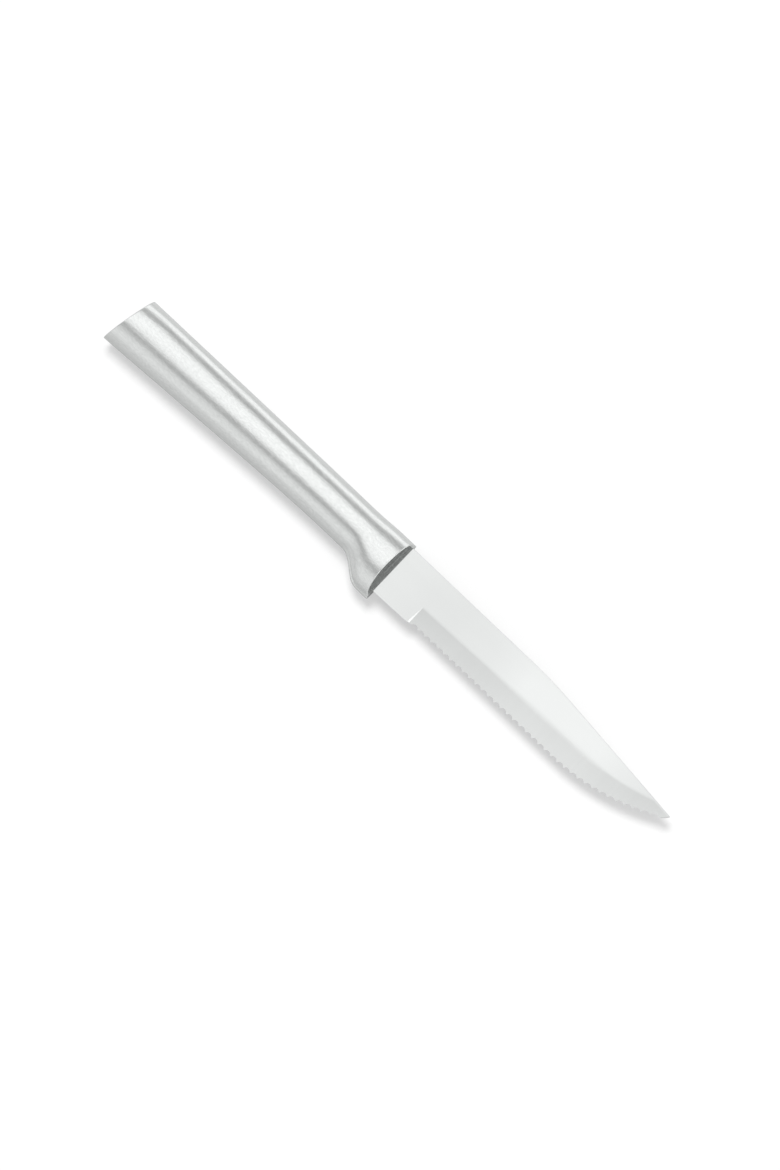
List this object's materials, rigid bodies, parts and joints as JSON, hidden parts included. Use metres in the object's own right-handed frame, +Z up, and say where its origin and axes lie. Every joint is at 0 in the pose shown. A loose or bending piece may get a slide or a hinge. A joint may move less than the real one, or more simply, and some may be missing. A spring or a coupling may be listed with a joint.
{
  "type": "serrated steak knife",
  "caption": "Steak knife with a serrated, hollow-ground steel blade whose tang is cast into a solid satin metal handle with a finger guard.",
  "frame": {"origin": "on the table under the middle of the knife's bounding box, with the knife lying on its side", "axes": "+X from the butt to the tip, +Y from the cutting edge to the spine, +Z up, square to the blade's flat"},
  "size_m": [0.196, 0.0188, 0.012],
  "materials": {
    "blade_steel": "satin polished flats, with fine grinding lines on the hollow bevel",
    "handle_aluminium": "satin, with a fine grain along the handle"
  },
  "bodies": {
    "root": {"blade": "blade_steel", "handle": "handle_aluminium"}
  },
  "joints": []
}
